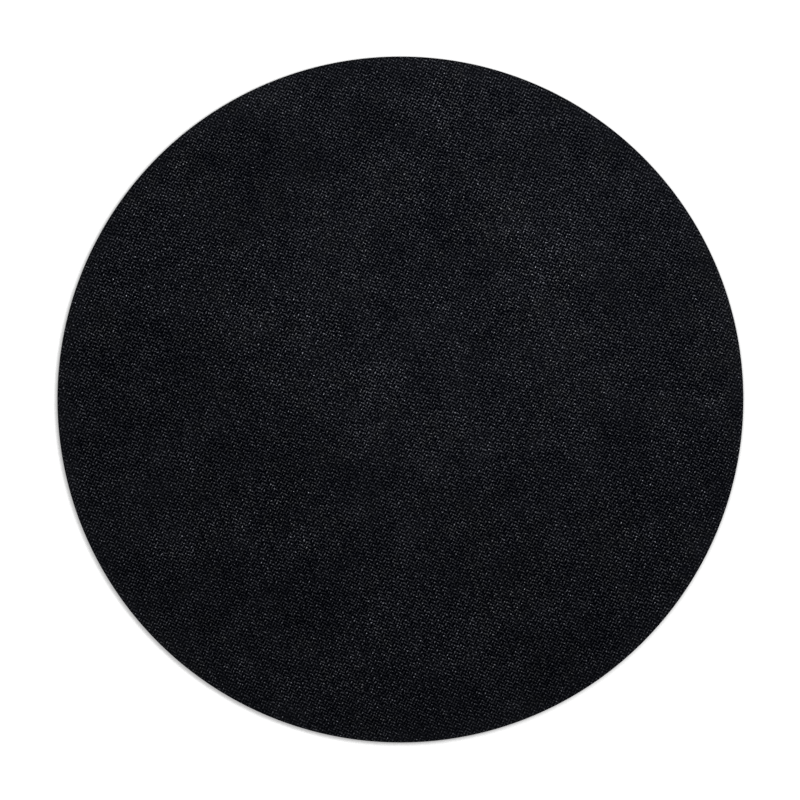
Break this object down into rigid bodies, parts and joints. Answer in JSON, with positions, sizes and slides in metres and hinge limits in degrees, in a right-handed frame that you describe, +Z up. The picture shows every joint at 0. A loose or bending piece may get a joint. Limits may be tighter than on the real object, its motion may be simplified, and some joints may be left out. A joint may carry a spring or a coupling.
{
  "type": "mouse pad",
  "caption": "Round flat mouse pad: black twill cloth laminated to a foam rubber sheet with a plain die-cut edge.",
  "frame": {"origin": "centre of the underside, on the surface that the pad lies on", "axes": "+Z up through the centre of the disc, square to its faces; X and Y lie in the underside and are alike, because the pad is round"},
  "size_m": [0.2, 0.2, 0.003],
  "materials": {
    "twill_cloth": "matte",
    "glue_film": "satin",
    "foam_rubber": "matte"
  },
  "bodies": {
    "root": {"cloth_top": "twill_cloth", "adhesive_film": "glue_film", "rubber_base": "foam_rubber"}
  },
  "joints": []
}
